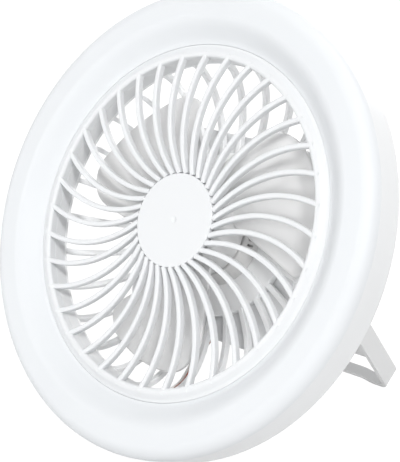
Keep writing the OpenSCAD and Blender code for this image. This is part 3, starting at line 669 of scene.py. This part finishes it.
# For each edge: its root, the root's radius, and the corner's distance, angle and radius
LEADING = (Vector((2.0, HUB_R - 1)), 2.0, TIP_R - LEAD_ROUND - 2, radians(32), LEAD_ROUND)
TRAILING = (Vector((-0.72 * HUB_R, 0.6 * HUB_R)), 3.0, TIP_R - TRAIL_ROUND, -radians(10),
            TRAIL_ROUND)


def edge_turn(r, side):
    """Clockwise angle from the blade's middle to its edge at a distance r from the axis."""
    root, root_r, reach, at, radius = LEADING if side > 0 else TRAILING
    corner = Vector((reach * sin(at), reach * cos(at)))
    way = (corner - root).normalized()
    out = Vector((way.y, -way.x)) * side
    bend = (radius - root_r) / (corner - root).length
    tilt_out = out * sqrt(1 - bend ** 2) - way * bend
    start, end = root + tilt_out * root_r, corner + tilt_out * radius
    if r <= end.length:
        low, high = 0.0, 1.0
        for _ in range(HALVINGS):
            middle = (low + high) / 2
            if start.lerp(end, middle).length < r:
                low = middle
            else:
                high = middle
        point = start.lerp(end, low)
        return atan2(point.x, point.y)
    from_corner = (r * r + corner.length ** 2 - radius ** 2) / (2 * r * corner.length)
    return atan2(corner.x, corner.y) + side * acos(max(-1.0, min(1.0, from_corner)))


print("blade's tip spans", round(degrees(edge_turn(TIP_R, 1) - edge_turn(TIP_R, -1))), "degrees")

# %% [markdown]
# The blade itself is a grid: its columns run from the trailing to the leading edge and its rows
# from the hub to the tip. Each grid point is moved to its place on a gently curved, pitched sheet.
# A second grid makes the back, and both thin out towards the edges, where they meet.

# %% One blade
ROWS, COLUMNS = 34, 30
BLADE_T = 1.8
BLADE_Z = -15.5
PITCH = radians(12)
CAMBER = 200.0
INTO_HUB = 0.6
EDGE_ROUND = 0.9
THIN_TIP = 0.0001


def blade():
    """One blade about +Y: a grid laid on the pitched, cambered sheet, and its back face."""
    bm = bmesh.new()
    bmesh.ops.create_grid(bm, x_segments=COLUMNS, y_segments=ROWS, size=1.0)
    upper = bm.verts[:]
    copy = bmesh.ops.duplicate(bm, geom=bm.verts[:] + bm.edges[:] + bm.faces[:])
    lower = [part for part in copy["geom"] if isinstance(part, bmesh.types.BMVert)]
    axis_x, axis_z = CAMBER * sin(PITCH), BLADE_Z + CAMBER * cos(PITCH)
    for side, verts in ((1, upper), (-1, lower)):
        for vert in verts:
            share = sin(vert.co.x * pi / 2)
            up = sin((vert.co.y + 1) / 2 * pi / 2)
            r = HUB_R - INTO_HUB + (TIP_R - HUB_R + INTO_HUB) * up
            trail, lead = edge_turn(r, -1), edge_turn(r, 1)
            turn = (trail + lead) / 2 + share * (lead - trail) / 2
            x, y = r * sin(turn), r * cos(turn)
            width = r * (lead - trail) / 2
            from_edge = min(width * (1 - abs(share)), TIP_R - r + THIN_TIP)
            half = BLADE_T / 2 * sqrt(max(0.0, 1 - (1 - min(1.0, from_edge / EDGE_ROUND)) ** 2))
            z = axis_z - sqrt(CAMBER ** 2 - (x - axis_x) ** 2)
            vert.co = (x, y, z + side * half)
    return bm


print("blade grid:", ROWS, "by", COLUMNS)

# %% [markdown]
# The impeller has three such blades on a deep round hub. The hub is a spun cup with a boss inside
# that grips the motor's shaft.

# %% The impeller
BLADES = 3
BLADE_MID = 60.0
HUB_FRONT = -4.5
HUB_BACK = -23.3
HUB_WALL = 1.6
HUB_FACE = HUB_FRONT - 2
BORE_R = 1.01
BOSS_R = 4
BOSS_END = -8.4
impeller = ring_of(blade, BLADES, -BLADE_MID)
hub_outline = [(BORE_R, HUB_FRONT), (HUB_R, HUB_FRONT), (HUB_R, HUB_BACK),
               (HUB_R - HUB_WALL, HUB_BACK), (HUB_R - HUB_WALL, HUB_FACE), (BOSS_R, HUB_FACE),
               (BOSS_R, BOSS_END), (BORE_R, BOSS_END)]
merged(impeller, spun(hub_outline, {1: 1.2, 2: 0.4, 3: 0.4, 4: 0.6}, CAP_STEPS))
finish_mesh(impeller, "blade_wheel", "impeller", ["impeller"], "blade_white", 50)

# %% [markdown]
# The stand, the box and the motor's cup already have their true shapes in the frame, but a frame
# piece has knife edges. A copy of each is made, its triangles are joined into whole faces, and its
# sharp edges are bevelled, as every moulded edge is.

# %% Copies with softened edges
MERGE_M = 0.000002


def softened(node, name, body, width, angle=50):
    """A copy of a frame piece with its sharp edges rounded by a width in metres."""
    bm = bmesh.new()
    bm.from_mesh(frame["nodes"][node].data)
    bmesh.ops.remove_doubles(bm, verts=bm.verts, dist=MERGE_M)
    bmesh.ops.dissolve_limit(bm, angle_limit=radians(1), verts=bm.verts, edges=bm.edges)
    sharp = [edge for edge in bm.edges
             if edge.is_manifold and edge.calc_face_angle(0) > radians(angle)]
    bmesh.ops.bevel(bm, geom=sharp, offset=width, segments=3, profile=0.5, material=-1,
                    affect="EDGES", clamp_overlap=True)
    finish_mesh(bm, name, body, [node], slot_of[node], 35, drawn_flat=False)


softened("stand", "folding_stand", "stand", 0.00035)
softened("box_body", "battery_box", "housing", 0.0004)
softened("box_cover", "box_lid", "housing", 0.0003, 55)
softened("motor_cup", "motor_shroud", "housing", 0.0004, 35)

# %% [markdown]
# The cross recess of a screw is the one shape here that needs a Boolean: two tapered bars, like
# the blade of a screwdriver, are cut out of the head. The modifier does the cut, and the result is
# taken as a plain mesh again.

# %% Cutting a recess
RECESS_TAPER = 0.6


def carved(bm, cutter):
    """Cuts one closed mesh out of another."""
    pair = []
    for name, part in (("carved", bm), ("cutter", cutter)):
        mesh = bpy.data.meshes.new(name)
        bmesh.ops.recalc_face_normals(part, faces=part.faces)
        part.to_mesh(mesh)
        part.free()
        pair.append(added(name, mesh))
    cut = pair[0].modifiers.new("cut", "BOOLEAN")
    cut.operation = "DIFFERENCE"
    cut.object = pair[1]
    result = with_modifiers(pair[0])
    out = bmesh.new()
    out.from_mesh(result)
    for mesh in (result, pair[0].data, pair[1].data):
        bpy.data.meshes.remove(mesh)
    return out


def cross_bar(matrix):
    """A bar that narrows downwards, as the blade of a screwdriver does."""
    bar = bmesh.new()
    bmesh.ops.create_cube(bar, size=1.0, matrix=matrix)
    low = [vert for vert in bar.verts if (matrix.inverted() @ vert.co).z < 0]
    bmesh.ops.scale(bar, vec=(RECESS_TAPER, RECESS_TAPER, 1), verts=low)
    return bar


print("a recess narrows to", RECESS_TAPER, "of its width")

# %% [markdown]
# A screw is a spun outline: a low pan head over a plain shank. The cut is made once for each size
# of screw, and the finished screw is copied to its places, which is quicker than a cut for each.

# %% Screws with cross recesses
PAN_HEAD = ((0, 1), (0.55, 0.94), (0.88, 0.68), (1, 0.3), (1, 0))
SCREW_STEPS = 40
RECESS_W, RECESS_LONG, RECESS_DEEP = 0.22, 1.15, 1.1


def screw(head_r, head_t, shank):
    """A screw along +Z; shank lists (radius, length) from the head down."""
    points = [(head_r * out, head_t * up) for out, up in PAN_HEAD]
    z = 0
    for radius, length in shank:
        points += [(radius, z), (radius, z - length)]
        z -= length
    bm = spun(points + [(0, z)], steps=SCREW_STEPS)
    bmesh.ops.remove_doubles(bm, verts=bm.verts, dist=MERGE)
    size = (head_r * RECESS_W, head_r * RECESS_LONG, head_t * RECESS_DEEP, 1)
    for turn in (0, pi / 2):
        bar = (Matrix.Translation((0, 0, head_t)) @ Matrix.Rotation(turn, 4, "Z")
               @ Matrix.Diagonal(size))
        bm = carved(bm, cross_bar(bar))
    return bm


def copies(bm, places):
    """One mesh of the same shape at several places."""
    together = bmesh.new()
    for place in places:
        one = bm.copy()
        bmesh.ops.transform(one, matrix=place, verts=one.verts)
        merged(together, one)
    bm.free()
    return together


print("points of a pan head:", len(PAN_HEAD))

# %% [markdown]
# Six screws hold the rear guard and the tray to the front grille. They stand in a circle around
# the opening, go in from behind and point forwards.

# %% The screws of the ring
PAN_R = 2.3
SHANK_R = 1.2
RIM_HEAD_T = 1.4
RIM_SCREWS = 6
RIM_SCREW_FIRST = 30
SCREW_CIRCLE = OPENING_R + 4.9
TIP_GAP = 0.2
RIM_BACK = bowl_top - RIM_T
RIM_SHANK = DUCT_TOP - TIP_GAP - RIM_BACK


def facing(x, y, z):
    """The place of a screw that points forwards, with its head to the rear."""
    return Matrix.Translation((x, y, z)) @ Matrix.Rotation(pi, 4, "X")


around = [radians(RIM_SCREW_FIRST + 360 / RIM_SCREWS * k) for k in range(RIM_SCREWS)]
rim_places = [facing(SCREW_CIRCLE * sin(a), SCREW_CIRCLE * cos(a), RIM_BACK) for a in around]
rim_screws = copies(screw(PAN_R, RIM_HEAD_T, [(SHANK_R, RIM_SHANK)]), rim_places)
finish_mesh(rim_screws, "rim_screws", "housing", ["ring_screws"], "steel")

# %% [markdown]
# Four screws with the same head hold the lid of the box. Their heads are sunk into the lid, so that
# nothing stands out when the fan lies on its back.

# %% The screws of the lid
BOX_W, BOX_H, BOX_DEPTH = 85.8, 88.0, 27.0
BOX_FRONT = -BOWL_DEPTH - PLATE_T - 0.3
BOX_BACK = BOX_FRONT - BOX_DEPTH
COVER_T = 3.4
LID_HEAD_T = 1.2
LID_SINK = 1.4
LID_THREAD = 8
LID_SHANK = COVER_T + LID_THREAD - LID_SINK
SCREW_INSET = 8
LID_X, LID_Y = BOX_W / 2 - SCREW_INSET, BOX_H / 2 - SCREW_INSET
lid_places = [facing(x * LID_X, y * LID_Y, BOX_BACK + LID_SINK)
              for x in (-1, 1) for y in (-1, 1)]
lid_screws = copies(screw(PAN_R, LID_HEAD_T, [(SHANK_R, LID_SHANK)]), lid_places)
finish_mesh(lid_screws, "lid_screws", "housing", ["cover_screws"], "steel")

# %% [markdown]
# The stand turns on two shoulder screws. The thick shoulder fills the hole in the stand's arm, and
# the thinner thread behind it goes into the side of the box.

# %% The hinge screws
STAND_HALF = 46.0
HEAD_GAP = 0.2
HINGE_HEAD_R, HINGE_HEAD_T = 5.0, 1.8
SHOULDER = (2.6, STAND_HALF + HEAD_GAP - BOX_W / 2)
THREAD = (1.5, 7.0)
hinge_places = [Matrix.Translation((side * (STAND_HALF + HEAD_GAP), 0, hinge.z))
                @ Matrix.Rotation(side * pi / 2, 4, "Y") for side in (-1, 1)]
hinge_bolts = copies(screw(HINGE_HEAD_R, HINGE_HEAD_T, [SHOULDER, THREAD]), hinge_places)
finish_mesh(hinge_bolts, "hinge_bolts", "housing", ["hinge_screws"], "steel")

# %% [markdown]
# The two push buttons are turned shapes: a dished top for the fingertip, a rounded edge, a flange
# that keeps the button in the box, and a stem that presses the switch. A raised ring marks the
# lamp's button and a raised dot the fan's, so that they can be told apart in the dark.

# %% The push buttons
BUTTON_X = 17.0
BUTTON_R = 6.0
BUTTON_TOP = 1.2
BUTTON_STEPS = 64
# The dish as shares of the radius with depths, and the slope of the rim around it
DISH = ((0, 0.5), (0.4, 0.42), (0.75, 0.1))
RIM_SLOPE = (0.7, 0.8)
FLANGE_AT = BOX_BACK + 2.1
FLANGE_R = BUTTON_R + 1.2
FLANGE_T = 1
STEM_R = 1.6
STEM_END = -54.95
SIGN_HALF = 0.35
SIGN_TOP, SIGN_FOOT = 0.2, 0.8
SIGN_ROUND = 0.15
SIGN_STEPS = 48


def push_button(mark):
    """A button on the fan's axis, its top to the rear; mark is the radius of its raised sign."""
    top = BOX_BACK - BUTTON_TOP
    points = [(BUTTON_R * out, top + low) for out, low in DISH]
    points += [(BUTTON_R - RIM_SLOPE[0], top), (BUTTON_R, top + RIM_SLOPE[1]),
               (BUTTON_R, FLANGE_AT), (FLANGE_R, FLANGE_AT), (FLANGE_R, FLANGE_AT + FLANGE_T),
               (STEM_R, FLANGE_AT + FLANGE_T), (STEM_R, STEM_END), (0, STEM_END)]
    bm = spun(points, {1: 0.8, 2: 0.6, 3: 0.5, 4: 0.35, 6: 0.2}, BUTTON_STEPS)
    inner, outer = max(0, mark - SIGN_HALF), mark + SIGN_HALF
    sign_outline = [(inner, top + SIGN_FOOT), (inner, top + SIGN_TOP), (outer, top + SIGN_TOP),
                    (outer, top + SIGN_FOOT)]
    rounded = (1, 2) if mark > 0 else (2,)
    sign = spun(sign_outline, {corner: SIGN_ROUND for corner in rounded}, SIGN_STEPS)
    return merged(bm, sign)


for name, x, mark in (("fan_button", -BUTTON_X, 0), ("lamp_button", BUTTON_X, 1.7)):
    button = push_button(mark)
    bmesh.ops.translate(button, vec=(x, 0, 0), verts=button.verts)
    finish_mesh(button, name + "_cap", name, [name], "button_white")

# %% [markdown]
# The studio is plain: a pale floor in a white surround. The floor glows pure white to the camera
# and in reflections only, so that its glow doesn't light the fan and wash out its shading. A small
# share of the floor's own shading is let through, which gives the fan a soft shadow to stand on.

# %% The floor
WHITE = (1.0, 1.0, 1.0, 1.0)
FLOOR_SIZE = 6.0
FLOOR_TONE = 0.75
FLOOR_SHADOW = 0.15
FLOOR_GLOW = 1.14


def floor_plane():
    """A flat square on the ground, for the fan to stand on."""
    bm = bmesh.new()
    bmesh.ops.create_grid(bm, x_segments=1, y_segments=1, size=FLOOR_SIZE)
    mesh = bpy.data.meshes.new("floor")
    bm.to_mesh(mesh)
    bm.free()
    plane = added("floor", mesh)
    return plane


floor = floor_plane()
floor_finish = Finish("studio floor", Roughness=0.9)
floor_finish.set("Base Color", shade((FLOOR_TONE, FLOOR_TONE, FLOOR_TONE)))
glow = floor_finish.node("ShaderNodeEmission", Color=WHITE, Strength=FLOOR_GLOW)
shown = floor_finish.seen_by("Is Camera Ray", "Is Glossy Ray")
floor_surface = floor_finish.blend(shown * (1 - FLOOR_SHADOW), floor_finish.shader, glow)
floor_finish.feed(floor_finish.output.inputs["Surface"], floor_surface)
floor.data.materials.append(floor_finish.material)
print("floor made")

# %% [markdown]
# The surround shows as pure white too, but it lights the fan much less, so pale plastic keeps its
# shade. Its own light is strongest from high in front and weakest from low behind, as in a bright
# room. The dot product of two directions gives that fade with one node.

# %% The surround
AMBIENT_BRIGHT = 0.72
AMBIENT_DIM = 0.28
BRIGHT_WAY = (0.2, -0.7, 0.68)
SURROUND = 1.03
world = bpy.data.worlds.new("studio")
bpy.context.scene.world = world
world.use_nodes = True
sky = Nodes(world.node_tree)
way = sky.node("ShaderNodeTexCoord", out="Generated")
brightness = sky.calc("DOT_PRODUCT", way, BRIGHT_WAY, "ShaderNodeVectorMath", "Value")
fade = sky.node("ShaderNodeMapRange", Value=brightness, From_Min=-1.0, To_Min=AMBIENT_DIM,
                To_Max=AMBIENT_BRIGHT)
ambient = sky.node("ShaderNodeBackground", Color=WHITE, Strength=fade)
backdrop = sky.node("ShaderNodeBackground", Color=WHITE, Strength=SURROUND)
shown = sky.seen_by("Is Camera Ray", "Is Transmission Ray", "Is Glossy Ray")
sky_output = sky.tree.nodes.new("ShaderNodeOutputWorld")
sky.feed(sky_output.inputs["Surface"], sky.blend(shown, ambient, backdrop))
print("surround made")

# %% [markdown]
# Four lamps model the shapes. A small key lamp, high on the right, draws the crest of the lens and
# one side of every rib. A broad, weak fill lamp in front on the left softens its shadows. One more
# lights the upper edge from above, and one the rear, so that the box and the stand read there too.

# %% The lamps
def lamp(name, place, size, power):
    """A round soft lamp that is aimed at the middle of the opening."""
    data = bpy.data.lights.new(name, "AREA")
    data.shape = "DISK"
    data.size = size
    data.energy = power
    light = added(name, data)
    light.location = place
    light.rotation_euler = (centre - Vector(place)).to_track_quat("-Z", "Y").to_euler()


lamp("key lamp", (1.4, -1.0, 1.5), 0.4, 24)
lamp("fill lamp", (-0.5, -1.6, 0.4), 1.0, 8)
lamp("top lamp", (0.2, 1.0, 1.8), 1.0, 12)
lamp("rear lamp", (-0.6, 1.6, 0.5), 1.0, 8)
bpy.context.scene.view_settings.view_transform = "Standard"
print("lamps:", len(bpy.data.lights))

# %% [markdown]
# The camera stands to the right of the fan and a little above it, and is not tilted sideways. Its
# place is measured from the middle of the air opening.

# %% The camera
AZIMUTH = radians(42.3)
ELEVATION = radians(18.5)
CAMERA_AT = Vector((0.3826, -0.4042, 0.1813))
FIELD = radians(18.65)
camera_data = bpy.data.cameras.new("camera")
camera_data.sensor_fit = "VERTICAL"
camera_data.angle = FIELD
camera = added("camera", camera_data)
camera.location = centre + CAMERA_AT
towards = -Vector((sin(AZIMUTH) * cos(ELEVATION), -cos(AZIMUTH) * cos(ELEVATION), sin(ELEVATION)))
camera.rotation_euler = towards.to_track_quat("-Z", "Y").to_euler()
bpy.context.scene.camera = camera
print("camera", round(CAMERA_AT.length / MM), "mm from the opening")
